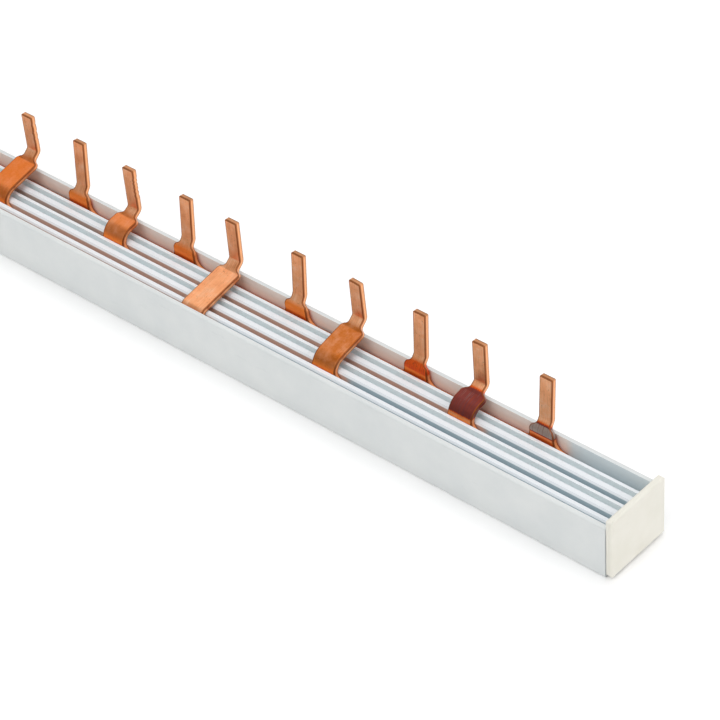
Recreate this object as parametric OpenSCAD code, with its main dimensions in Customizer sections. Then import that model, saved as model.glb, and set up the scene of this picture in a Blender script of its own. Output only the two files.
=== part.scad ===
// Comb busbar for a row of modular circuit breakers: four stamped copper combs, a neutral
// and three phases, stand side by side in the slots of an extruded plastic tray, and
// an end cap is plugged into each end. Millimetres, +Z up, +X towards the right-hand end.
// The origin is the middle of the tray's flat underside.

/* [Tray] */
// Number of breaker modules, which is the number of blades in the row
modules = 12; // [6:1:18]
// Width of one module, from blade to blade
module_pitch = 17.8; // [17:0.1:18.5]
// Length of tray past the middle of the last blade at each end
end_overhang = 29; // [16:0.5:45]
// Height of the tray to its rims
tray_h = 14; // [13:0.1:15]
// Thickness of the front and back walls
wall_t = 1.25; // [1:0.05:1.6]
// Thickness of the floor
floor_t = 1.3; // [1:0.05:1.8]
// How far the ribs end below the rims
rim_step = 1.65; // [1.2:0.05:2]
// Rounding along the tray's outer long edges
tray_round = 0.45; // [0.2:0.05:0.6]

/* [Ribs and slots] */
// Gap on each side of the copper in each slot, from the rear slot to the front one
slot_gap = [0.5, 0.075, 0.075, 0.3]; // [0.05:0.025:0.6]
// Thickness of the single web behind the front slot, with its chamfer
web_t = 1.35; // [1.2:0.05:1.6]
// Thickness of the front wall of a double rib, with its chamfer
rib_front_t = 1.65; // [1.4:0.05:1.9]
// Width of the groove along the top of a double rib
groove_w = 1.3; // [1:0.05:1.5]
// Thickness of the rear wall of a double rib
rib_rear_t = 0.85; // [0.75:0.05:1.1]
// Depth of that groove
groove_depth = 3.2; // [1.6:0.1:4.5]
// Thickness of the bridge under the groove, over the closed chamber
bridge_t = 0.9; // [0.7:0.05:1.2]
// Width and depth of the chamfer that leads a comb into its slot, on the slot's rear side
mouth_chamfer_w = 0.4; // [0.2:0.05:0.5]

/* [Copper] */
// Thickness of the copper strip
copper_t = 1.3; // [1:0.05:1.5]
// Height of the bar that joins the prongs of a comb
bar_h = 9.3; // [7:0.1:9.6]
// Width of a prong's foot and strap
foot_w = 6.6; // [6:0.1:7.5]
// Width of the blade that enters the breaker
blade_w = 3.5; // [3:0.1:4.2]
// Length of bar past the foot of the last prong
bar_past = 3; // [2.6:0.1:5]
// Concave rounding between foot and bar
foot_fillet = 2.4; // [1.5:0.1:2.6]
// Rounding of a prong's shoulders
shoulder_r = 1.5; // [1:0.1:1.5]
// Concave rounding where a shoulder meets the blade
neck_r = 0.4; // [0.2:0.05:0.5]
// Rounding of the corners of a blade's tip
tip_corner_r = 0.3; // [0.1:0.05:0.6]
// Inner radius of the tight bends
tight_bend_r = 0.6; // [0.4:0.05:0.8]
// Height of the phase blades' tips above the tray's underside
tip_h = 28.8; // [26:0.1:32]
// Distance from the tray's back face forward to the middle of the row of blades
row_inset = 0.65; // [0.4:0.05:1]

/* [Neutral comb] */
// How far the neutral blades end below the phase blades
neutral_drop_h = 0.6; // [0:0.1:1.5]
// Height at which the neutral prongs jog back, above the rims
neutral_jog_h = 0.3; // [0.2:0.05:0.8]
// Slope of the jog away from upright
neutral_jog_angle = 37; // [30:1:50]
// Backward lean of the neutral blades
neutral_lean_angle = 3.5; // [0:0.5:5]
// How far the neutral comb has slid along its slot
neutral_slip = 0; // [-3:0.1:3]

/* [Phase combs] */
// Height above the ribs of each phase prong's upper bend, from rear comb to front comb
phase_rise_h = [2.55, 1.9, 0.6]; // [0.6:0.05:2.6]
// Inner radius of that bend
phase_bend_r = [2.9, 2.9, 0.7]; // [0.6:0.1:3]
// Slope of the strap over the ribs
phase_slope_angle = [10, 13, 10]; // [8:1:14]
// Slope of the neck behind the shoulders
phase_neck_angle = [34, 41, 38]; // [32:1:42]
// Forward lean of the blades
phase_lean_angle = [0, 1.5, 0]; // [0:0.5:2]
// How far each phase comb has slid along its slot
phase_slip = [-0.5, 0, -2.4]; // [-3:0.1:3]
// Distance from the row of blades forward to the start of the neck
neck_l = 2.6; // [2.2:0.1:3]

/* [End caps] */
// Thickness of a cap's plate
cap_t = 1.7; // [1.4:0.1:2.5]
// Height of a cap above the rims
cap_rise_h = 2.3; // [1:0.1:3]
// Height of a cap's lower edge above the tray's underside
cap_foot_h = 0.7; // [0.5:0.1:1.4]
// Rounding of the cap's edges
cap_edge_r = 0.5; // [0.3:0.05:0.6]
// Rounding of the cap's corners
cap_corner_r = 0.9; // [0.6:0.1:1.2]
// Length of the pegs that plug into the closed chambers
peg_l = 6; // [4:0.5:9]
// Gap round a peg
peg_gap = 0.1; // [0.05:0.01:0.15]

/* [Hidden] */
$fn = 64;

// The tray's section, from rear to front: slot, double rib, slot, double rib, slot, web, slot
rib_w = rib_front_t + groove_w + rib_rear_t;
slot_w = [for (gap = slot_gap) copper_t + 2 * gap];
tray_d = 2 * (wall_t + rib_w) + web_t + slot_w[0] + slot_w[1] + slot_w[2] + slot_w[3];
tray_l = (modules - 1) * module_pitch + 2 * end_overhang;
rib_top = tray_h - rim_step;
chamber_top = rib_top - groove_depth - bridge_t;
rear_slot_y = tray_d / 2 - wall_t - slot_w[0];
second_slot_y = rear_slot_y - rib_w - slot_w[1];
third_slot_y = second_slot_y - rib_w - slot_w[2];
slot_y = [rear_slot_y, second_slot_y, third_slot_y, wall_t - tray_d / 2];
// Rear sides of the slots: the front faces of the two double ribs, then that of the web
rib_y = [for (k = [1, 2]) slot_y[k] + slot_w[k]];
web_y = slot_y[3] + slot_w[3];
// Overrun of the cuts past the faces that they open
over = wall_t;

// The combs stand in the middle of their slots, on the floor
bar_y = [for (k = [0:3]) slot_y[k] + slot_w[k] / 2];
bar_top = floor_t + bar_h;
row_y = tray_d / 2 - row_inset;
tight_r = tight_bend_r + copper_t / 2;
// Largest turn between two points of a bend
facet_angle = 5;
// The blades in order from the right-hand end: every other one is neutral
first_blade_x = tray_l / 2 - end_overhang;
cycle_places = 2 * len(phase_rise_h);
neutral_places = [for (i = [0:2:modules - 1]) i];
function phase_places(k) = [for (i = [2 * k - 1:cycle_places:modules - 1]) i];
function blade_x(i) = first_blade_x - i * module_pitch;

function heading(a, b) = atan2(b[1] - a[1], b[0] - a[0]);
function along(angle, length) = length * [cos(angle), sin(angle)];

// Turns at the corners of a path; the path's two ends have none
function turns(path) = [for (i = [0:len(path) - 1])
    i == 0 || i == len(path) - 1 ? 0
    : heading(path[i], path[i + 1]) - heading(path[i - 1], path[i])];

// One edge of a folded strip, offset to the left of its path: an arc round each corner
function strip_edge(path, radii, offset) = let (bends = turns(path), last = len(path) - 1) concat(
    [path[0] + along(heading(path[0], path[1]) + 90, offset)],
    [for (i = [1:last - 1]) let (
            side = sign(bends[i]),
            angle = heading(path[i - 1], path[i]),
            start = path[i] - along(angle, radii[i] * tan(abs(bends[i]) / 2)),
            centre = start + along(angle + 90, side * radii[i]),
            steps = ceil(abs(bends[i]) / facet_angle))
        for (step = [0:steps])
            centre + along(angle - 90 * side + bends[i] * step / steps, radii[i] - side * offset)],
    [path[last] + along(heading(path[last - 1], path[last]) + 90, offset)]);

function reversed(list) = [for (i = [len(list) - 1:-1:0]) list[i]];

// A folded strip in side view. radii holds each corner's bend radius, to the middle of the strip.
module folded_strip(path, radii, t) {
    polygon(concat(strip_edge(path, radii, t / 2), reversed(strip_edge(path, radii, -t / 2))));
}

// A rectangle with its lower left corner at the origin and its corners rounded
module rounded_rect(w, h, r) {
    translate([r, 0]) square([w - 2 * r, h]);
    translate([0, r]) square([w, h - 2 * r]);
    for (x = [r, w - r], y = [r, h - r]) translate([x, y]) circle(r);
}

// Lays a side view, drawn as [Y, Z], along X and centres it on x
module along_x(x, length) {
    translate([x - length / 2, 0, 0]) rotate([90, 0, 90]) linear_extrude(length) children();
}

// Lays a front view, drawn as [X, Z], along Y from y
module along_y(y, length) {
    translate([0, y + length, 0]) rotate([90, 0, 0]) linear_extrude(length) children();
}

// The hollow corner of a fillet: a square less the round that is cut from it
module fillet_corner(r) {
    difference() {
        square(r);
        translate([r, r]) circle(r);
    }
}

// Outline of a prong that stands along +Y from the origin: a foot with rounded shoulders that
// ends at shoulder, a concave neck on each side, then the narrower blade with its rounded tip
module prong_outline(shoulder, length) {
    round_x = foot_w / 2 - shoulder_r;
    round_y = shoulder - shoulder_r;
    neck_x = blade_w / 2 + neck_r;
    neck_y = round_y + sqrt(pow(shoulder_r + neck_r, 2) - pow(max(0, neck_x - round_x), 2));
    translate([-foot_w / 2, 0]) square([foot_w, round_y]);
    translate([-round_x, 0]) square([2 * round_x, shoulder]);
    for (side = [0, 1]) mirror([side, 0]) {
        translate([round_x, round_y]) circle(shoulder_r);
        difference() {
            polygon([[0, round_y], [round_x, round_y], [neck_x, neck_y], [0, neck_y]]);
            translate([neck_x, neck_y]) circle(neck_r);
        }
    }
    translate([-blade_w / 2, 0]) rounded_rect(blade_w, length, tip_corner_r);
}

// The two concave fillets where a foot meets the bar, in front view
module foot_fillets(x) {
    for (side = [-1, 1]) translate([x + side * foot_w / 2, bar_top]) mirror([side < 0 ? 1 : 0, 0])
        fillet_corner(foot_fillet);
}

// The bar of a comb in front view, from its first to its last prong
module bar_outline(places, slip) {
    right = blade_x(places[0]) + slip + foot_w / 2 + bar_past;
    left = blade_x(places[len(places) - 1]) + slip - foot_w / 2 - bar_past;
    translate([left, floor_t]) square([right - left, bar_h]);
}

// A cut in the section for the chamfer along the rear side of a slot's mouth. It runs on into
// the slot and above the rib by the chamfer's own width.
module mouth_chamfer(y) {
    c = mouth_chamfer_w;
    polygon([[y - c, rib_top - 2 * c], [y + 2 * c, rib_top + c], [y - c, rib_top + c]]);
}

// One double rib's groove and the closed chamber under it, as cuts in the section
module rib_cuts(y) {
    translate([y + rib_front_t, rib_top - groove_depth]) square([groove_w, groove_depth + over]);
    translate([y + rib_front_t, floor_t]) square([groove_w, chamber_top - floor_t]);
}

// The tray's section, drawn as [Y, Z]
module tray_section() {
    difference() {
        translate([-tray_d / 2, 0]) rounded_rect(tray_d, tray_h, tray_round);
        translate([wall_t - tray_d / 2, rib_top]) square([tray_d - 2 * wall_t, rim_step + over]);
        for (k = [0:3]) translate([slot_y[k], floor_t]) square([slot_w[k], tray_h]);
        for (y = concat(rib_y, [web_y])) mouth_chamfer(y);
        for (y = rib_y) rib_cuts(y);
    }
}

module insulating_profile() {
    color("gainsboro") along_x(0, tray_l) tray_section();
}

// The neutral comb: a flat blank whose prongs jog back from the rear slot to the row of blades.
// The bent strip runs on past the tips, and the blank's front view cuts it there.
module neutral_comb() {
    neutral_tip_h = tip_h - neutral_drop_h;
    jog_z = tray_h + neutral_jog_h;
    crease_z = jog_z + (row_y - bar_y[0]) / tan(neutral_jog_angle);
    strip_top = neutral_tip_h + over;
    lean_y = (strip_top - crease_z) * tan(neutral_lean_angle);
    color("peru") intersection() {
        along_x(0, tray_l) folded_strip(
            [[bar_y[0], floor_t], [bar_y[0], jog_z], [row_y, crease_z], [row_y + lean_y, strip_top]],
            [0, tight_r, tight_r, 0], copper_t);
        along_y(0, tray_d) {
            bar_outline(neutral_places, neutral_slip);
            for (i = neutral_places) {
                translate([blade_x(i) + neutral_slip, bar_top])
                    prong_outline(jog_z + shoulder_r / 2 - bar_top, neutral_tip_h - bar_top);
                foot_fillets(blade_x(i) + neutral_slip);
            }
        }
    }
}

// A phase prong in front view: wide enough for the foot up to the crease, then the blade
module phase_prong_front(crease_z) {
    translate([-foot_w / 2 - over, 0]) square([foot_w + 2 * over, crease_z]);
    translate([-blade_w / 2, 0]) rounded_rect(blade_w, tip_h, tip_corner_r);
}

// One phase comb: its prongs arch forward to back over the ribs, narrow at the shoulders
// and turn up into the row of blades. A prong is what its side, top and front views share.
module phase_comb(k) {
    y = bar_y[k];
    rise_z = rib_top + phase_rise_h[k - 1];
    neck_y = row_y - neck_l;
    neck_z = rise_z + (neck_y - y) * tan(phase_slope_angle[k - 1]);
    crease_z = neck_z + neck_l * tan(phase_neck_angle[k - 1]);
    strip_top = tip_h + over;
    lean_y = (strip_top - crease_z) * tan(phase_lean_angle[k - 1]);
    bend_r = phase_bend_r[k - 1] + copper_t / 2;
    slip = phase_slip[k - 1];
    places = phase_places(k);
    along_y(y - copper_t / 2, copper_t) {
        bar_outline(places, slip);
        for (i = places) foot_fillets(blade_x(i) + slip);
    }
    for (i = places) translate([blade_x(i) + slip, 0, 0]) intersection() {
        along_x(0, foot_w) folded_strip(
            [[y, floor_t], [y, rise_z], [neck_y, neck_z], [row_y, crease_z], [row_y - lean_y, strip_top]],
            [0, bend_r, tight_r, tight_r, 0], copper_t);
        translate([0, y - copper_t, 0]) linear_extrude(strip_top + over)
            prong_outline(neck_y + copper_t - y, tray_d);
        along_y(y - copper_t, tray_d) phase_prong_front(crease_z);
    }
}

module phase_1_comb() {
    color("peru") phase_comb(1);
}

module phase_2_comb() {
    color("peru") phase_comb(2);
}

module phase_3_comb() {
    color("peru") phase_comb(3);
}

// An end cap that faces +X: a plate from x = 0 with every edge rounded, and two pegs behind it
module end_cap() {
    cap_h = tray_h + cap_rise_h - cap_foot_h;
    intersection() {
        translate([0, -tray_d / 2, cap_foot_h]) rotate([90, 0, 90]) linear_extrude(cap_t)
            rounded_rect(tray_d, cap_h, cap_corner_r);
        translate([0, tray_d / 2, cap_foot_h]) rotate([90, 0, 0]) linear_extrude(tray_d)
            rounded_rect(cap_t, cap_h, cap_edge_r);
        translate([0, -tray_d / 2, cap_foot_h]) linear_extrude(cap_h)
            rounded_rect(cap_t, tray_d, cap_edge_r);
    }
    for (y = rib_y)
        translate([-peg_l, y + rib_front_t + peg_gap, floor_t + peg_gap])
            cube([peg_l + cap_t / 2, groove_w - 2 * peg_gap, chamber_top - floor_t - 2 * peg_gap]);
}

module right_end_cap() {
    color("ivory") translate([tray_l / 2, 0, 0]) end_cap();
}

module left_end_cap() {
    color("ivory") translate([-tray_l / 2, 0, 0]) mirror([1, 0, 0]) end_cap();
}

insulating_profile();
neutral_comb();
phase_1_comb();
phase_2_comb();
phase_3_comb();
right_end_cap();
left_end_cap();
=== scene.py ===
# Looks of a comb busbar: a grey extruded tray, four folded copper combs and two ivory end caps,
# on a pale studio floor. Metres, +Z up, +X towards the right-hand end.
import math
from collections import namedtuple

import bmesh
import bpy
import numpy as np
from mathutils import Matrix, Vector, geometry


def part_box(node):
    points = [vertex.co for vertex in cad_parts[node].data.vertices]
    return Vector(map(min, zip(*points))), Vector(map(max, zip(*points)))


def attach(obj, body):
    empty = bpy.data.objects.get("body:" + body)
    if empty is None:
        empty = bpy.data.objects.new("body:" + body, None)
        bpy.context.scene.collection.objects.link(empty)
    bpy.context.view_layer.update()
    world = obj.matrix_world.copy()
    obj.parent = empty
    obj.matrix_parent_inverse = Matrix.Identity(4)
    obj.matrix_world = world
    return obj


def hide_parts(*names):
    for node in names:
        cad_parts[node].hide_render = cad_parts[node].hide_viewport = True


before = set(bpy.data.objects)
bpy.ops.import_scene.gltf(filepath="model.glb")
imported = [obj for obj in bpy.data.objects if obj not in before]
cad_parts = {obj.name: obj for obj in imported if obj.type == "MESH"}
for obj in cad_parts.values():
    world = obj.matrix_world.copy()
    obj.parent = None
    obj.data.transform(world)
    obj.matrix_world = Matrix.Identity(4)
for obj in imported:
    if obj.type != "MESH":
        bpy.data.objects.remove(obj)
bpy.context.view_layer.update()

MM = 0.001
tray_lo, tray_hi = (np.array(corner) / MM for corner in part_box("insulating_profile"))

# Copper strip, in millimetres
COPPER_T = 1.3
BAR_H = 9.3
FOOT_W = 6.6
BLADE_W = 3.5
BAR_PAST = 3.0
FOOT_FILLET = 2.4
SHOULDER_R = 1.5
NECK_R = 1.0
TIP_CORNER_R = 0.3
BEND_INSIDE_R = 0.6
TIGHT_R = BEND_INSIDE_R + COPPER_T / 2
NECK_L = 2.6
# Edge that the punch leaves: drawn down in front, torn a little back behind, and a sharp burr
DRAWN_EDGE = 0.2
TEAR_INSET = 0.03
BURR_EDGE = 0.06
# Darkness of the drawn edge and of the burr, from 0 to 1, how far it runs on to a face, and the
# distances from the strip's middle at which the dark side ends and the plain one begins
DRAWN_DARK = 0.85
BURR_DARK = 0.85
DARK_W = 0.12
DARK_STOP = COPPER_T / 4
PLAIN_START = COPPER_T / 8

# Tray, in millimetres; the slots run from the rear one to the front one
TRAY_D = tray_hi[1] - tray_lo[1]
TRAY_H = tray_hi[2] - tray_lo[2]
WALL_T = 1.25
FLOOR_T = 1.3
RIM_STEP = 1.65
RIB_TOP = TRAY_H - RIM_STEP
SLOT_GAPS = (0.5, 0.075, 0.075, 0.3)
SLOT_W = [COPPER_T + 2 * gap for gap in SLOT_GAPS]
RIB_FRONT_T = 1.65
GROOVE_W = 1.3
RIB_REAR_T = 0.85
GROOVE_DEPTH = 3.2
GROOVE_FLOOR = RIB_TOP - GROOVE_DEPTH
BRIDGE_T = 0.9
CHAMBER_TOP = GROOVE_FLOOR - BRIDGE_T
MOUTH_CHAMFER = 0.4
# The two rear ribs are grooved above a closed chamber; the front one is a plain web
GROOVED_RIBS = 2
RIB_W = RIB_FRONT_T + GROOVE_W + RIB_REAR_T
REAR_SLOT_Y = TRAY_D / 2 - WALL_T - SLOT_W[0]
SECOND_SLOT_Y = REAR_SLOT_Y - RIB_W - SLOT_W[1]
THIRD_SLOT_Y = SECOND_SLOT_Y - RIB_W - SLOT_W[2]
SLOT_Y = [REAR_SLOT_Y, SECOND_SLOT_Y, THIRD_SLOT_Y, WALL_T - TRAY_D / 2]
BAR_Y = [y + w / 2 for y, w in zip(SLOT_Y, SLOT_W)]
# Rounding that the extrusion die leaves: along the outer corners, the inner ones and the chambers'
OUTER_ROUND = 0.6
INNER_ROUND = 0.07
CHAMBER_ROUND = 0.14
ROUND_STEPS = 5
# Faces of the tray whose tone carries painted light, painted shade and painted copper reflection
PAINTED_LIGHT_FACES = ("groove", "slot", "rib", "wall")

# Row of blades, in order from the right-hand end
MODULE_PITCH = 17.8
MODULES = 12
FIRST_BLADE_X = MODULE_PITCH * (MODULES - 1) / 2
ROW_Y = TRAY_D / 2 - COPPER_T / 2
PHASE_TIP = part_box("phase_1_comb")[1].z / MM
NEUTRAL_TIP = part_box("neutral_comb")[1].z / MM
# A neutral prong's jog: its height above the rims, its angle from upright and the blade's lean
NEUTRAL_JOG = 0.3
NEUTRAL_JOG_ANGLE = 37
NEUTRAL_LEAN = 3.5
# A phase prong's bend height above the ribs, inner bend radius, strap slope, neck slope, lean and slip
PhaseShape = namedtuple("PhaseShape", "rise bend slope neck lean slip")
PHASES = [PhaseShape(2.55, 2.9, 10, 34, 0, -0.5),
          PhaseShape(1.9, 2.9, 13, 41, -1.5, 0),
          PhaseShape(0.6, 0.7, 10, 38, 0, -2.4)]

# How each prong has been knocked from its true place: push back and extra height in millimetres,
# shift to the right at the crease in millimetres, then sway to the right and twist in degrees
Knock = namedtuple("Knock", "push rise shift sway twist", defaults=(0, 0, 0, 0, 0))
KNOCKS = [Knock(0, -0.64, -0.28, -0.3), Knock(0, -0.22, 0.05, -0.6), Knock(0, -0.14, 0.03, -0.6),
          Knock(0, 0, -0.1, -0.8, 4), Knock(0, -0.63, -0.64, -0.1), Knock(0, -0.46, -0.26, -0.7),
          Knock(0, -0.34, -0.38, 0.2), Knock(0, 0.05, 0.26, -1.3), Knock(0, 0.62, -0.1, 0.3),
          Knock(0.8, 0.5, 0, 0.5), Knock(), Knock()]
# Nicks in the right-hand edge of two blades, as (place down from the tip, depth) in millimetres
NICKS = {7: [(2.6, 0.22), (3.7, 0.3), (4.8, 0.24), (5.9, 0.3), (7.1, 0.22)],
         9: [(2.2, 0.16), (4.6, 0.2), (6.4, 0.14)]}
NICK_W = 0.42
# Painted light and heat tint of each prong: height above the ribs to which orange reflection is painted, in
# millimetres, then how far brown shade is painted on its strap and how far its foot or strap is scorched, from
# 0 to 1
TintAndPaintedLight = namedtuple("TintAndPaintedLight", "glow flush scorch")
TINTS_AND_PAINTED_LIGHT = [TintAndPaintedLight(1.2, 0, 1.0), TintAndPaintedLight(0.9, 0.5, 0.74), TintAndPaintedLight(3.0, 0, 0.42), TintAndPaintedLight(1.6, 1.0, 0),
            TintAndPaintedLight(3.2, 0, 0), TintAndPaintedLight(0.5, 0.1, 0), TintAndPaintedLight(3.2, 0, 0.12), TintAndPaintedLight(1.8, 0.7, 0.1),
            TintAndPaintedLight(3.2, 0, 0), TintAndPaintedLight(1.4, 1.0, 0.12), TintAndPaintedLight(3.2, 0, 0), TintAndPaintedLight(0.6, 0.1, 0)]
# Where scorching starts, and over what height it, the painted reflection and the painted shade come in, in
# millimetres
SCORCH_ABOVE_RIBS = 0.8
SCORCH_FADE = 0.5
TINT_AND_LIGHT_FADE = 1.0

# Mesh density of the copper: steps along the strip, across a face and round an edge
ROW_STEP = 0.3
ROW_TURN = math.radians(6)
FACE_COLUMNS = 10
EDGE_STEPS = 4
ARC_STEPS = 12
LINE_STEP = 0.02
MERGE_DISTANCE = 0.002

# Camera, fitted to the blades, the rims and the end cap in the photograph
CAMERA_PLACE = (0.38827, -0.34727, 0.41371)
CAMERA_YAW = math.radians(44.099)
CAMERA_PITCH = math.radians(39.471)
CAMERA_ROLL = math.radians(-4.461)
CAMERA_LENS = 141.46
SENSOR_WIDTH = 36
CLIP_NEAR = 0.01
CLIP_FAR = 20

# Light: the floor's size in metres and its emission, the even surround's strength, then each soft box's
# place and size in metres and its watts
FLOOR_SIZE = 8
FLOOR_GLOW = 0.06
SURROUND = 0.45
SoftBox = namedtuple("SoftBox", "name place width power")
SOFT_BOXES = [SoftBox("top_box", (0.1, 0.35, 1.3), 1.0, 5.4),
              SoftBox("front_box", (0.1, -0.75, 1.1), 0.9, 4.6),
              SoftBox("right_box", (1.2, 0.1, 0.7), 0.8, 3.7),
              SoftBox("left_box", (-0.95, 0.25, 0.9), 0.8, 1.6)]


def linear(colour):
    """sRGB hex colour as linear red, green, blue and alpha."""
    parts = np.array([int(colour[i:i + 2], 16) for i in (1, 3, 5)]) / 255
    curve = np.where(parts <= 0.04045, parts / 12.92, ((parts + 0.055) / 1.055) ** 2.4)
    return (*curve.tolist(), 1.0)


def add_node(tree, kind, inputs=None, stops=None, **settings):
    """Adds a shader node. inputs gives each socket a value or an output to link to it; stops are a
    ramp's places and colours."""
    made = tree.nodes.new("ShaderNode" + kind)
    for name, value in settings.items():
        setattr(made, name, value)
    for socket, value in (inputs or {}).items():
        if isinstance(value, bpy.types.NodeSocket):
            tree.links.new(value, made.inputs[socket])
        else:
            made.inputs[socket].default_value = value
    for i, (place, colour) in enumerate(stops or []):
        stop = made.color_ramp.elements[i] if i < 2 else made.color_ramp.elements.new(place)
        stop.position, stop.color = place, colour
    return made


def attribute(tree, name, output="Fac"):
    """What a mesh attribute says at each point."""
    return add_node(tree, "Attribute", attribute_name=name).outputs[output]


def noise(tree, place, scale, detail, roughness=0.5):
    """Fractal noise from 0 to 1; scale is its number of cells in a unit of place."""
    return add_node(tree, "TexNoise", {"Vector": place, "Scale": scale, "Detail": detail,
                                       "Roughness": roughness}).outputs[0]


def streaked(tree, place, scale):
    """Places scaled apart, so that noise on them draws out along the axis with the smallest scale."""
    return add_node(tree, "Mapping", {"Vector": place, "Scale": scale}).outputs[0]


def ramp(tree, value, stops):
    """Colour ramp over places from 0 to 1."""
    return add_node(tree, "ValToRGB", {"Fac": value}, [(at, linear(colour)) for at, colour in stops]).outputs[0]


def remap(tree, value, start, stop, low, high):
    """low up to start, high from stop on, and an even change between them."""
    return add_node(tree, "MapRange", {"Value": value, "From Min": start, "From Max": stop,
                                       "To Min": low, "To Max": high}).outputs[0]


def mix(tree, share, under, over):
    """The colour under, going over to the colour over as the share goes from 0 to 1."""
    return add_node(tree, "Mix", {"Factor": share, 6: under, 7: over}, data_type="RGBA").outputs[2]


def new_material(name):
    """An empty material and its node tree."""
    material = bpy.data.materials.new(name)
    material.use_nodes = True
    material.node_tree.nodes.clear()
    return material, material.node_tree


def close_material(tree, inputs):
    """Gives the material its shader and links that to the output."""
    shader = add_node(tree, "BsdfPrincipled", inputs)
    add_node(tree, "OutputMaterial", {"Surface": shader.outputs[0]})


def extruded_pvc():
    """Extruded rigid PVC: satin light grey, with faint draw lines along X and soft handling marks."""
    material, tree = new_material("extruded_pvc")
    place = add_node(tree, "TexCoord").outputs["Object"]
    # Draw lines 0.4 mm apart that run the whole length
    lines = noise(tree, streaked(tree, place, (4, 2500, 2500)), 1, 2)
    # Handling marks 6 to 15 mm across
    marks = noise(tree, place, 90, 4, 0.6)
    tone = ramp(tree, marks, [(0.35, "#DBDFDF"), (0.7, "#E3E6E5")])
    # Scuffs: thin dull rubs about 8 mm long
    rubs = noise(tree, streaked(tree, place, (120, 700, 420)), 1, 5, 0.65)
    tone = mix(tree, remap(tree, rubs, 0.64, 0.8, 0.0, 0.5), tone, linear("#C9CECE"))
    # Painted light: grooves are painted a light bluish white, standing in for light bounced round inside them
    tone = mix(tree, attribute(tree, "groove"), tone, linear("#F1F8FA"))
    # Painted reflection: beside its copper bar a slot and the rear wall are painted brownish, up to the bar's
    # right-hand end
    along = add_node(tree, "SeparateXYZ", {"Vector": place}).outputs["X"]
    before_end = add_node(tree, "Math", {0: attribute(tree, "bar_end"), 1: along}, operation="SUBTRACT")
    bar_reflection_share = remap(tree, before_end.outputs[0], -MM, MM, 0.0, 1.0)
    # Painted shade: slots away from a bar are painted a darker, cooler tone
    slot_shade_and_reflection = mix(tree, bar_reflection_share, linear("#CCDCE3"), linear("#D4C2B8"))
    tone = mix(tree, attribute(tree, "slot"), tone, slot_shade_and_reflection)
    # Painted light: rib tops are painted lighter and bluer than the outside
    tone = mix(tree, attribute(tree, "rib"), tone, linear("#EAEEF2"))
    # Painted light: the rear wall's inner face is painted near white, and beside the bar a warm painted
    # reflection of the copper
    wall_light_and_reflection = mix(tree, bar_reflection_share, linear("#F1F8FA"), linear("#FFF6EE"))
    tone = mix(tree, attribute(tree, "wall"), tone, wall_light_and_reflection)
    gloss = remap(tree, marks, 0.3, 0.7, 0.38, 0.52)
    bump = add_node(tree, "Bump", {"Height": lines, "Strength": 0.25, "Distance": 0.00003})
    close_material(tree, {"Base Color": tone, "Roughness": gloss, "IOR": 1.53, "Normal": bump.outputs[0]})
    return material


def moulded_nylon():
    """Moulded nylon: warm ivory, more matt than the tray, with a fine eroded mould texture."""
    material, tree = new_material("moulded_nylon")
    place = add_node(tree, "TexCoord").outputs["Object"]
    # Mould texture 0.35 mm across, and clouds of tone about 6 mm across
    grain = noise(tree, place, 2800, 3)
    tone = ramp(tree, noise(tree, place, 160, 3), [(0.3, "#E8E5D9"), (0.7, "#EEEBE1")])
    bump = add_node(tree, "Bump", {"Height": grain, "Strength": 0.3, "Distance": 0.00004})
    close_material(tree, {"Base Color": tone, "Roughness": 0.5, "IOR": 1.53, "Normal": bump.outputs[0]})
    return material


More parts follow.
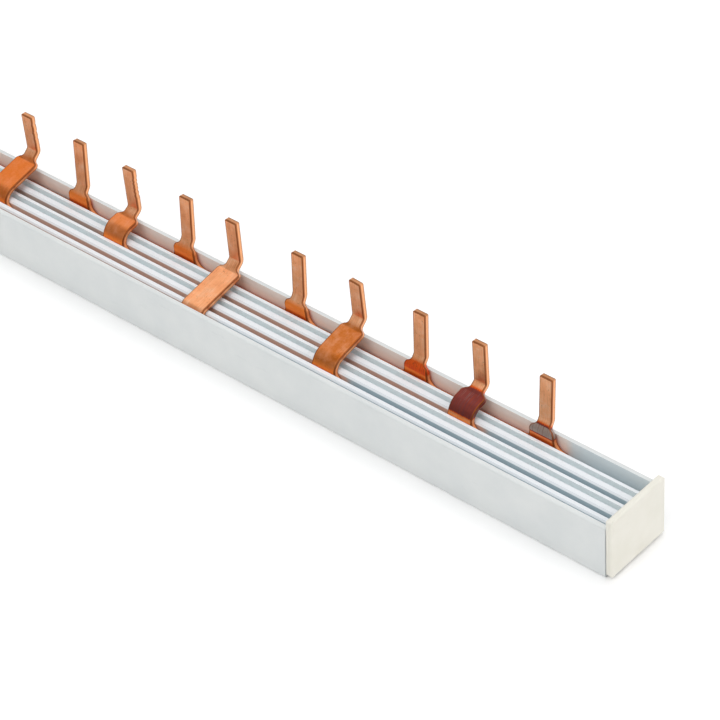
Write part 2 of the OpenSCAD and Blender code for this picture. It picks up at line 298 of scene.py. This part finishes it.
def rolled_copper():
    """Cold-rolled copper strip: a dull pinkish tan skin with rolling lines, pits and specks, a dark
    line along each corner, a brighter sheared side, orange to purple heat tint where it was worked and heated,
    a painted orange reflection near the slots and painted brown shade on the straps."""
    material, tree = new_material("rolled_copper")
    # The blank attribute holds the flat strip's own place in millimetres: across, along, thickness
    place = attribute(tree, "blank", "Vector")
    glow, scorch = attribute(tree, "glow"), attribute(tree, "scorch")
    # Tarnish in patches 2 to 5 mm across
    patches = noise(tree, place, 0.45, 5, 0.62)
    tone = ramp(tree, patches, [(0.3, "#F2A270"), (0.5, "#FFB583"), (0.72, "#FFCBA4")])
    # Rolling lines 0.2 mm apart that run along the strip
    lines = noise(tree, streaked(tree, place, (5, 0.22, 5)), 1, 3)
    tone = mix(tree, remap(tree, lines, 0.4, 0.75, 0.0, 0.55), tone, linear("#D88F60"))
    # Painted shade: brown on the straps, uneven with the tarnish, standing in for their darker reflections
    uneven = remap(tree, patches, 0.35, 0.62, 1.0, 0.7)
    strap_shade_share = add_node(tree, "Math", {0: attribute(tree, "flush"), 1: uneven},
                           operation="MULTIPLY", use_clamp=True)
    tone = mix(tree, strap_shade_share.outputs[0], tone, linear("#C46A28"))
    # Painted reflection: orange near the slot, standing in for light that copper bounces on to copper
    tone = mix(tree, glow, tone, linear("#FF9342"))
    # The sheared side is where the thickness place leaves the two faces
    depth = add_node(tree, "SeparateXYZ", {"Vector": place}).outputs["Z"]
    depth_off = add_node(tree, "Math", {0: depth}, operation="ABSOLUTE")
    side_share = remap(tree, depth_off.outputs[0], COPPER_T / 2 - 0.04, COPPER_T / 2 - DRAWN_EDGE, 0.0, 0.85)
    tone = mix(tree, side_share, tone, linear("#F7B17E"))
    # Heat tint runs from orange through red and purple to grey brown, streaked by the rolling lines
    streaks = remap(tree, lines, 0.3, 0.7, -0.12, 0.12)
    heat = add_node(tree, "Math", {0: scorch, 1: streaks}, operation="ADD")
    tint = ramp(tree, heat.outputs[0], [(0.1, "#F0803A"), (0.4, "#F06125"), (0.62, "#924234"),
                                        (0.82, "#7C3E3C"), (1.0, "#B09C91")])
    tint_share = add_node(tree, "Math", {0: scorch, 1: 3.0}, operation="MULTIPLY", use_clamp=True)
    tone = mix(tree, tint_share.outputs[0], tone, tint)
    # Dark line along each corner between a face and the sheared side
    tone = mix(tree, attribute(tree, "outline"), tone, linear("#8C4A22"))
    # Pits and specks of dirt 0.2 mm across
    specks = noise(tree, place, 2.2, 4, 0.7)
    tone = mix(tree, remap(tree, specks, 0.62, 0.72, 0.0, 0.8), tone, linear("#7A4427"))
    # Where the orange reflection is painted the copper is also a little rougher than the rolled skin
    gloss = remap(tree, patches, 0.3, 0.7, 0.3, 0.46)
    dulled = add_node(tree, "Math", {0: glow, 1: 0.16, 2: gloss}, operation="MULTIPLY_ADD")
    bump = add_node(tree, "Bump", {"Height": specks, "Strength": 0.45, "Distance": 0.00006})
    close_material(tree, {"Base Color": tone, "Metallic": 1.0, "Roughness": dulled.outputs[0],
                          "Normal": bump.outputs[0]})
    return material


def studio_floor():
    """White light-table floor: matt, and lit a little from below so that shadows on it stay faint."""
    material, tree = new_material("studio_floor")
    close_material(tree, {"Base Color": linear("#FFFFFF"), "Roughness": 0.9,
                          "Emission Color": linear("#FFFFFF"), "Emission Strength": FLOOR_GLOW})
    return material


def grid_quads(rows, columns, closed=False):
    """Corner numbers of the quads of a grid of rows by columns; a closed grid joins its last row to
    its first."""
    row = np.arange(rows if closed else rows - 1)[:, None]
    column = np.arange(columns - 1)[None, :]
    here, next_row = row * columns + column, (row + 1) % rows * columns + column
    return np.stack([here, here + 1, next_row + 1, next_row], axis=-1).reshape(-1, 4)


def make_piece(name, points, quads, material, values=None, extra_faces=()):
    """One closed mesh from points in millimetres and faces. Doubles merge, faces turn outwards,
    and values are the points' attributes."""
    mesh = bpy.data.meshes.new(name)
    mesh.from_pydata((points * MM).tolist(), [], [*quads.tolist(), *extra_faces])
    for label, value in (values or {}).items():
        kind, field = ("FLOAT_VECTOR", "vector") if value.ndim == 2 else ("FLOAT", "value")
        mesh.attributes.new(label, kind, "POINT").data.foreach_set(field, value.astype(np.float32).ravel())
    worked = bmesh.new()
    worked.from_mesh(mesh)
    bmesh.ops.remove_doubles(worked, verts=worked.verts, dist=MERGE_DISTANCE * MM)
    bmesh.ops.recalc_face_normals(worked, faces=worked.faces)
    worked.to_mesh(mesh)
    worked.free()
    mesh.shade_smooth()
    mesh.materials.append(material)
    piece = bpy.data.objects.new(name, mesh)
    bpy.context.scene.collection.objects.link(piece)
    # Flat faces stay flat beside their rounded edges
    piece.modifiers.new("flat_faces", "WEIGHTED_NORMAL").keep_sharp = True
    return piece


def rounded_loop(corners, radii):
    """Closed outline with an arc in each corner: p - r tan(b / 2) a to p + r tan(b / 2) c, where a and c
    are the directions in and out of corner p, and b is the turn between them."""
    into = corners - np.roll(corners, 1, axis=0)
    into /= np.linalg.norm(into, axis=1, keepdims=True)
    out = np.roll(into, -1, axis=0)
    turn = np.arctan2(into[:, 0] * out[:, 1] - into[:, 1] * out[:, 0], (into * out).sum(1))
    left = np.stack([-into[:, 1], into[:, 0]], axis=1) * np.sign(turn)[:, None]
    start = corners - into * (radii * np.tan(np.abs(turn) / 2))[:, None]
    centre = start + left * radii[:, None]
    angle = turn[:, None] * np.linspace(0, 1, ROUND_STEPS + 1)
    spoke = -left[:, None, :] * np.cos(angle)[..., None] + into[:, None, :] * np.sin(np.abs(angle))[..., None]
    return (centre[:, None, :] + radii[:, None, None] * spoke).reshape(-1, 2)


def tray_corners():
    """Corners of the tray's section as (y, z), from the front lower one round by the rear, each with
    the name of the face that follows it. Every slot but the rear one has a chamfered rear lip."""
    half = TRAY_D / 2
    corners = [(-half, 0, ""), (half, 0, ""), (half, TRAY_H, ""), (half - WALL_T, TRAY_H, "wall"),
               (half - WALL_T, FLOOR_T, "slot")]
    last = len(SLOT_Y) - 1
    for k, (front, width) in enumerate(zip(SLOT_Y, SLOT_W)):
        rear = front + width
        if k > 0:
            corners += [(rear + MOUTH_CHAMFER, RIB_TOP, "rib"), (rear, RIB_TOP - MOUTH_CHAMFER, "slot"),
                        (rear, FLOOR_T, "slot")]
        if k < last:
            corners += [(front, FLOOR_T, "slot"), (front, RIB_TOP, "rib")]
        if k < GROOVED_RIBS:
            groove = front - RIB_REAR_T
            corners += [(groove, RIB_TOP, "groove"), (groove, GROOVE_FLOOR, "groove"),
                        (groove - GROOVE_W, GROOVE_FLOOR, "groove"), (groove - GROOVE_W, RIB_TOP, "rib")]
    corners += [(WALL_T - half, FLOOR_T, "slot"), (WALL_T - half, TRAY_H, ""), (-half, TRAY_H, "")]
    return np.array([corner[:2] for corner in corners]), np.array([corner[2] for corner in corners])


def face_share(faces, name):
    """How far each point of a rounded outline belongs to the named faces: an arc goes over from the
    face before its corner to the one after it."""
    after = (faces == name).astype(float)
    step = np.linspace(0, 1, ROUND_STEPS + 1)
    return (np.roll(after, 1)[:, None] * (1 - step) + after[:, None] * step).ravel()


def prong_x(number, slip=0):
    """Place of a prong along the row: its module's middle, moved by how far its comb has slid."""
    return FIRST_BLADE_X - MODULE_PITCH * number + slip


def tray_piece(material):
    """The tray: its section, with every corner rounded, carried along X from end to end. The two
    closed chambers are loops of their own, and the end faces fill the space between the loops."""
    corners, faces = tray_corners()
    outer = np.isclose(np.abs(corners[:, 0]), TRAY_D / 2)
    loops = [rounded_loop(corners, np.where(outer, OUTER_ROUND, INNER_ROUND))]
    shares = {name: [face_share(faces, name)] for name in PAINTED_LIGHT_FACES}
    for k in range(1, GROOVED_RIBS + 1):
        y = SLOT_Y[k] + SLOT_W[k] + RIB_FRONT_T
        box = np.array([(y, FLOOR_T), (y + GROOVE_W, FLOOR_T), (y + GROOVE_W, CHAMBER_TOP), (y, CHAMBER_TOP)])
        loops.append(rounded_loop(box, np.full(len(box), CHAMBER_ROUND)))
        for share in shares.values():
            share.append(np.zeros(len(loops[-1])))
    ends = (tray_lo[0], tray_hi[0])
    points, quads, start = [], [], 0
    for loop in loops:
        rows = [np.column_stack([np.full(len(loop), x), loop]) for x in ends]
        points.append(np.stack(rows, axis=1).reshape(-1, 3))
        quads.append(grid_quads(len(loop), len(ends), closed=True) + start)
        start += len(loop) * len(ends)
    flat = [[Vector((y, z, 0)) for y, z in loop] for loop in loops]
    corners_of = np.array(geometry.tessellate_polygon(flat))
    fill = [tuple((face * len(ends) + end).tolist()) for end in range(len(ends)) for face in corners_of]
    values = {name: np.repeat(np.concatenate(share), len(ends)) for name, share in shares.items()}
    # Each point also holds where the bar nearest to it ends on the right, where the painted copper reflection
    # on the tray stops
    first_x = [prong_x(0), *(prong_x(2 * k + 1, shape.slip) for k, shape in enumerate(PHASES))]
    right_ends = np.array(first_x) + FOOT_W / 2 + BAR_PAST
    nearest_bar = np.abs(np.concatenate(loops)[:, :1] - BAR_Y).argmin(axis=1)
    values["bar_end"] = np.repeat(right_ends[nearest_bar] * MM, len(ends))
    return make_piece("tray_shell", np.concatenate(points), np.concatenate(quads), material, values, fill)


Strip = namedtuple("Strip", "length heading y z")


def folded_strip(path, radii):
    """Centreline of a folded strip: its heading is even along each leg and turns evenly over each
    bend, and the line is the running sum of (cos, sin) of that heading."""
    legs = np.diff(np.array(path, float), axis=0)
    headings = np.arctan2(legs[:, 1], legs[:, 0])
    turns = np.abs(np.diff(headings))
    radii = np.array(radii, float)
    cut = radii * np.tan(turns / 2)
    lengths = np.zeros(2 * len(legs) - 1)
    lengths[0::2] = np.hypot(*legs.T) - np.r_[0, cut] - np.r_[cut, 0]
    lengths[1::2] = radii * turns
    knots = np.r_[0, np.cumsum(lengths)]
    length = np.union1d(np.arange(0, knots[-1], LINE_STEP), knots)
    heading = np.interp(length, knots, np.repeat(headings, 2))
    middle, step = (heading[1:] + heading[:-1]) / 2, np.diff(length)
    y = path[0][0] + np.r_[0, np.cumsum(step * np.cos(middle))]
    z = path[0][1] + np.r_[0, np.cumsum(step * np.sin(middle))]
    return Strip(length, heading, y, z)


def row_places(strip, start, stop):
    """Places along the strip from start to stop in even steps of length / ROW_STEP + turn / ROW_TURN."""
    turned = np.r_[0, np.cumsum(np.abs(np.diff(strip.heading)))]
    measure = strip.length / ROW_STEP + turned / ROW_TURN
    first, last = np.interp([start, stop], strip.length, measure)
    return np.interp(np.linspace(first, last, math.ceil(last - first) + 1), measure, strip.length)


def arc(centre, radius, start, stop):
    """Points of an arc between two angles in degrees, and the directions to them from its centre."""
    angle = np.radians(np.linspace(start, stop, ARC_STEPS + 1))
    spoke = np.stack([np.cos(angle), np.sin(angle)], axis=1)
    return centre + radius * spoke, spoke


def upright_side(x, places):
    """Straight stretch of a prong's side at x, and its outward directions."""
    return np.column_stack([np.full(len(places), x), places]), np.tile((1.0, 0.0), (len(places), 1))


# A prong: its place along the row and number, its strip, where its shoulder and crease are along
# the strip, and its flat right side with the outward directions
Prong = namedtuple("Prong", "x number strip shoulder crease side out")


def flat_prong(x, number, strip, shoulder, crease):
    """A prong's right half from the bar up to the tip: a hollow fillet, the foot, a round shoulder,
    a hollow neck, the blade and the tip's corner."""
    tip = strip.length[-1]
    fillet, inward = arc((FOOT_W / 2 + FOOT_FILLET, BAR_H + FOOT_FILLET), FOOT_FILLET, 270, 180)
    neck_x = BLADE_W / 2 + NECK_R
    round_x = FOOT_W / 2 - SHOULDER_R
    neck_up = math.sqrt((SHOULDER_R + NECK_R) ** 2 - (neck_x - round_x) ** 2)
    meet = math.degrees(math.atan2(neck_up, neck_x - round_x))
    rounded, round_out = arc((round_x, shoulder - SHOULDER_R), SHOULDER_R, 0, meet)
    neck, neck_in = arc((neck_x, shoulder - SHOULDER_R + neck_up), NECK_R, 180 + meet, 180)
    corner, corner_out = arc((BLADE_W / 2 - TIP_CORNER_R, tip - TIP_CORNER_R), TIP_CORNER_R, 0, 90)
    foot, foot_out = upright_side(FOOT_W / 2, row_places(strip, fillet[-1, 1], rounded[0, 1])[1:-1])
    blade, blade_out = upright_side(BLADE_W / 2, row_places(strip, neck[-1, 1], corner[0, 1])[1:-1])
    side = np.concatenate([fillet, foot, rounded, neck[1:], blade, corner])
    out = np.concatenate([-inward, foot_out, round_out, -neck_in[1:], blade_out, corner_out])
    return Prong(x, number, strip, shoulder, crease, side, out)


def nicked_side(prong):
    """The prong's right side, pressed in by depth exp(-(d / NICK_W) ** 2) at distance d from each nick."""
    pressed = np.zeros(len(prong.side))
    for down, depth in NICKS.get(prong.number, ()):
        pressed += depth * np.exp(-((prong.strip.length[-1] - down - prong.side[:, 1]) / NICK_W) ** 2)
    return prong.side - prong.out * pressed[:, None]


def edge_profile():
    """Section of a sheared edge as (inset, thickness, darkness): a drawn round in front, the smooth
    cut, the torn zone a little further in, and a sharp rear edge."""
    angle = np.linspace(0, math.pi / 2, EDGE_STEPS + 1)
    half = COPPER_T / 2
    front = np.column_stack([DRAWN_EDGE * (1 - np.sin(angle)), half - DRAWN_EDGE * (1 - np.cos(angle)),
                             np.full(len(angle), DRAWN_DARK)])
    torn = np.array([(0, DARK_STOP, DRAWN_DARK), (0, PLAIN_START, 0), (TEAR_INSET, 0, 0),
                     (TEAR_INSET, -DARK_STOP, 0)])
    rear = np.column_stack([TEAR_INSET + BURR_EDGE * (1 - np.cos(angle)),
                            BURR_EDGE * (1 - np.sin(angle)) - half, np.full(len(angle), BURR_DARK)])
    return np.concatenate([front, torn, rear])


# A grid of flat points (across, along, thickness) with each point's prong and darkness
Patch = namedtuple("Patch", "points owner outline closed")


def bar_ends(prongs):
    """Left and right ends of the bar that joins the prongs."""
    return prongs[-1].x - FOOT_W / 2 - BAR_PAST, prongs[0].x + FOOT_W / 2 + BAR_PAST


def face_columns(left, right):
    """Places across a face between its two edges: one DARK_W inside each edge and even ones between
    those. Faces, bar and edge all use them, so that their points meet."""
    share = np.linspace(0, 1, FACE_COLUMNS - 1)
    return np.hstack([left, left + DARK_W + (right - left - 2 * DARK_W) * share, right])


def foot_columns(prongs):
    """Places across the bar under every foot and its fillets, from left to right."""
    half = np.array([FOOT_W / 2 + FOOT_FILLET])
    return np.concatenate([prong.x + face_columns(-half, half) for prong in reversed(prongs)])


def edge_patch(prongs):
    """The edge section carried round the comb's outline: along the bar's foot, up its right end,
    round each prong from right to left and down its left end."""
    left, right = bar_ends(prongs)
    feet = foot_columns(prongs)
    loop = [[(left, 0)], np.column_stack([feet, np.zeros(len(feet))]), [(right, 0), (right, BAR_H)]]
    outward = [[(-1, -1)], np.tile((0, -1), (len(feet), 1)), [(1, -1), (1, 1)]]
    owner = [np.zeros(len(feet) + 3, int)]
    for k, prong in enumerate(prongs):
        right_side = nicked_side(prong)
        inner = face_columns(-prong.side[-1, :1], prong.side[-1, :1])[-2:0:-1]
        tip = np.column_stack([inner, np.full(len(inner), prong.side[-1, 1])])
        loop.append(np.concatenate([right_side, tip, prong.side[::-1] * (-1, 1)]) + (prong.x, 0))
        outward.append(np.concatenate([prong.out, np.tile((0, 1), (len(tip), 1)), prong.out[::-1] * (-1, 1)]))
        owner.append(np.full(len(loop[-1]), k))
    loop = np.concatenate([*loop, [(left, BAR_H)]])
    outward = np.concatenate([*outward, [(-1, 1)]])
    owner = np.concatenate([*owner, [len(prongs) - 1]])
    profile = edge_profile()
    flat = loop[:, None, :] - outward[:, None, :] * profile[None, :, :1]
    depth = np.broadcast_to(profile[None, :, 1:2], (len(loop), len(profile), 1))
    dark = np.tile(profile[:, 2], (len(loop), 1))
    owners = np.repeat(owner[:, None], len(profile), 1)
    return Patch(np.concatenate([flat, depth], axis=2), owners, dark, True)


def face_patches(prongs, inset, depth, border_dark):
    """One flat face of the comb, a little inside its outline: the bar, then rows up each prong from
    its left edge to its right one. The border is as dark as the edge it meets."""
    left, right = bar_ends(prongs)
    bar_x = np.concatenate([[left + inset], foot_columns(prongs), [right - inset]])
    bar = np.stack([np.column_stack([bar_x, np.full(len(bar_x), v), np.full(len(bar_x), depth)])
                    for v in (inset, BAR_H - inset)])
    patches = [Patch(bar, np.zeros(bar.shape[:2], int), np.zeros(bar.shape[:2]), False)]
    for k, prong in enumerate(prongs):
        right_edge = nicked_side(prong) - prong.out * inset
        left_edge = (prong.side - prong.out * inset) * (-1, 1)
        across = face_columns(left_edge[:, :1], right_edge[:, :1])
        along = np.repeat(right_edge[:, 1:], across.shape[1], 1)
        grid = np.stack([prong.x + across, along, np.full(across.shape, depth)], axis=2)
        dark = np.zeros(across.shape)
        dark[:, [0, -1]] = dark[-1] = border_dark
        patches.append(Patch(grid, np.full(across.shape, k), dark, False))
    return patches


def bend_prong(flat, prong):
    """Folds a prong's flat places (x, along, thickness) to x, y and z: P(along) + thickness N(along).
    Its knock shifts it evenly from bar to crease, and twists and sways the blade above that."""
    knock = KNOCKS[prong.number]
    across, along, depth = flat[:, 0] - prong.x, flat[:, 1], flat[:, 2]
    rise = np.clip(along - prong.crease, 0, None)
    turn = math.radians(knock.twist) * rise / (prong.strip.length[-1] - prong.crease)
    shift = knock.shift * np.clip((along - BAR_H) / (prong.crease - BAR_H), 0, 1)
    shift += math.tan(math.radians(knock.sway)) * rise
    turned = across * np.cos(turn) - depth * np.sin(turn)
    depth = across * np.sin(turn) + depth * np.cos(turn)
    heading = np.interp(along, prong.strip.length, prong.strip.heading)
    y = np.interp(along, prong.strip.length, prong.strip.y) - depth * np.sin(heading)
    z = np.interp(along, prong.strip.length, prong.strip.z) + depth * np.cos(heading)
    return np.column_stack([prong.x + turned + shift, y, z])


def fade_in(past, reach):
    """0 up to a limit and 1 from reach beyond it; past is the distance beyond the limit."""
    return np.clip(past / reach, 0, 1)


def comb_piece(name, prongs, material):
    """A comb stamped in one piece from flat strip: its edge and its two faces, then each prong folded."""
    patches = [edge_patch(prongs), *face_patches(prongs, DRAWN_EDGE, COPPER_T / 2, DRAWN_DARK),
               *face_patches(prongs, TEAR_INSET + BURR_EDGE, -COPPER_T / 2, BURR_DARK)]
    starts = np.cumsum([0, *[patch.owner.size for patch in patches]])
    quads = np.concatenate([grid_quads(*patch.owner.shape, patch.closed) + start
                            for patch, start in zip(patches, starts)])
    flat = np.concatenate([patch.points.reshape(-1, 3) for patch in patches])
    owner = np.concatenate([patch.owner.ravel() for patch in patches])
    outline = np.concatenate([patch.outline.ravel() for patch in patches])
    placed, glow, flush, scorch = np.zeros_like(flat), *(np.zeros(len(flat)) for _ in range(3))
    for k, prong in enumerate(prongs):
        mine, tint_and_light = owner == k, TINTS_AND_PAINTED_LIGHT[prong.number]
        placed[mine] = bend_prong(flat[mine], prong)
        above_ribs = placed[mine, 2] - RIB_TOP
        below_neck = fade_in(prong.shoulder + NECK_R - flat[mine, 1], TINT_AND_LIGHT_FADE)
        glow[mine] = fade_in(tint_and_light.glow - above_ribs, TINT_AND_LIGHT_FADE)
        flush[mine] = tint_and_light.flush * below_neck
        scorch[mine] = tint_and_light.scorch * below_neck * fade_in(above_ribs - SCORCH_ABOVE_RIBS, SCORCH_FADE)
    return make_piece(name, placed, quads, material,
                      {"blank": flat, "outline": outline, "glow": glow, "flush": flush, "scorch": scorch})


def neutral_comb(material):
    """The neutral comb: its prongs rise from the rear slot and jog back into the row of blades."""
    jog_z = TRAY_H + NEUTRAL_JOG
    prongs = []
    for number in range(0, MODULES, 2):
        knock = KNOCKS[number]
        row_y, tip = ROW_Y + knock.push, NEUTRAL_TIP + knock.rise
        crease_z = jog_z + (row_y - BAR_Y[0]) / math.tan(math.radians(NEUTRAL_JOG_ANGLE))
        lean_y = (tip - crease_z) * math.tan(math.radians(NEUTRAL_LEAN))
        strip = folded_strip([(BAR_Y[0], FLOOR_T), (BAR_Y[0], jog_z), (row_y, crease_z),
                              (row_y + lean_y, tip)], [TIGHT_R, TIGHT_R])
        shoulder, crease = np.interp([jog_z + SHOULDER_R / 2, crease_z], strip.z, strip.length)
        prongs.append(flat_prong(prong_x(number), number, strip, shoulder, crease))
    return comb_piece("neutral_copper", prongs, material)


def phase_comb(k, material):
    """A phase comb: its prongs arch forward to back over the ribs, narrow at the shoulders and turn
    up into the row. k counts from the rear phase slot to the front one."""
    shape, bar_y = PHASES[k], BAR_Y[k + 1]
    rise_z = RIB_TOP + shape.rise
    prongs = []
    for number in range(2 * k + 1, MODULES, 2 * len(PHASES)):
        knock = KNOCKS[number]
        row_y, tip = ROW_Y + knock.push, PHASE_TIP + knock.rise
        neck_y = row_y - NECK_L
        neck_z = rise_z + (neck_y - bar_y) * math.tan(math.radians(shape.slope))
        crease_z = neck_z + NECK_L * math.tan(math.radians(shape.neck))
        lean_y = (tip - crease_z) * math.tan(math.radians(shape.lean))
        strip = folded_strip([(bar_y, FLOOR_T), (bar_y, rise_z), (neck_y, neck_z), (row_y, crease_z),
                              (row_y + lean_y, tip)], [shape.bend + COPPER_T / 2, TIGHT_R, TIGHT_R])
        before_row = slice(0, np.argmax(strip.y > neck_y + COPPER_T))
        shoulder = np.interp(neck_y + COPPER_T / 2, strip.y[before_row], strip.length[before_row])
        crease = np.interp(crease_z, strip.z, strip.length)
        prongs.append(flat_prong(prong_x(number, shape.slip), number, strip, shoulder, crease))
    return comb_piece(f"phase_{k + 1}_copper", prongs, material)


def place_camera():
    """The photograph's camera: level axes turned by yaw and pitch, then rolled about the view line."""
    forward = Vector((-math.sin(CAMERA_YAW) * math.cos(CAMERA_PITCH),
                      math.cos(CAMERA_YAW) * math.cos(CAMERA_PITCH), -math.sin(CAMERA_PITCH)))
    level = Vector((math.cos(CAMERA_YAW), math.sin(CAMERA_YAW), 0))
    upright = level.cross(forward)
    right = math.cos(CAMERA_ROLL) * level + math.sin(CAMERA_ROLL) * upright
    up = math.cos(CAMERA_ROLL) * upright - math.sin(CAMERA_ROLL) * level
    lens = bpy.data.cameras.new("photo_camera")
    lens.lens, lens.sensor_width = CAMERA_LENS, SENSOR_WIDTH
    lens.clip_start, lens.clip_end = CLIP_NEAR, CLIP_FAR
    camera = bpy.data.objects.new("photo_camera", lens)
    axes = Matrix((right, up, -forward)).transposed()
    camera.matrix_world = Matrix.Translation(CAMERA_PLACE) @ axes.to_4x4()
    bpy.context.scene.collection.objects.link(camera)
    bpy.context.scene.camera = camera


def soft_light(box):
    """A square soft box that faces the middle of the object."""
    lamp = bpy.data.lights.new(box.name, "AREA")
    lamp.shape, lamp.size, lamp.energy = "SQUARE", box.width, box.power
    stand = bpy.data.objects.new(box.name, lamp)
    stand.location = box.place
    stand.rotation_euler = (-Vector(box.place)).to_track_quat("-Z", "Y").to_euler()
    bpy.context.scene.collection.objects.link(stand)


def studio():
    """A white floor under the object, an even white surround, and soft boxes above, in front and at
    both sides."""
    bpy.ops.mesh.primitive_plane_add(size=FLOOR_SIZE)
    floor = bpy.context.object
    floor.name = "floor"
    floor.data.materials.append(studio_floor())
    world = bpy.data.worlds.new("surround")
    world.use_nodes = True
    background = world.node_tree.nodes["Background"]
    background.inputs["Color"].default_value = linear("#FFFFFF")
    background.inputs["Strength"].default_value = SURROUND
    bpy.context.scene.world = world
    for box in SOFT_BOXES:
        soft_light(box)
    bpy.context.scene.view_settings.view_transform = "Standard"


pvc, nylon, copper = extruded_pvc(), moulded_nylon(), rolled_copper()
place_camera()
studio()

made = [(tray_piece(pvc), "insulating_profile", "grey_plastic"),
        (neutral_comb(copper), "neutral_comb", "copper")]
made += [(phase_comb(k, copper), f"phase_{k + 1}_comb", "copper") for k in range(len(PHASES))]
for piece, solid, slot in made:
    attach(piece, "root")
    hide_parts(solid)
for cap in ("right_end_cap", "left_end_cap"):
    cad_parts[cap].data.materials.clear()
    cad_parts[cap].data.materials.append(nylon)
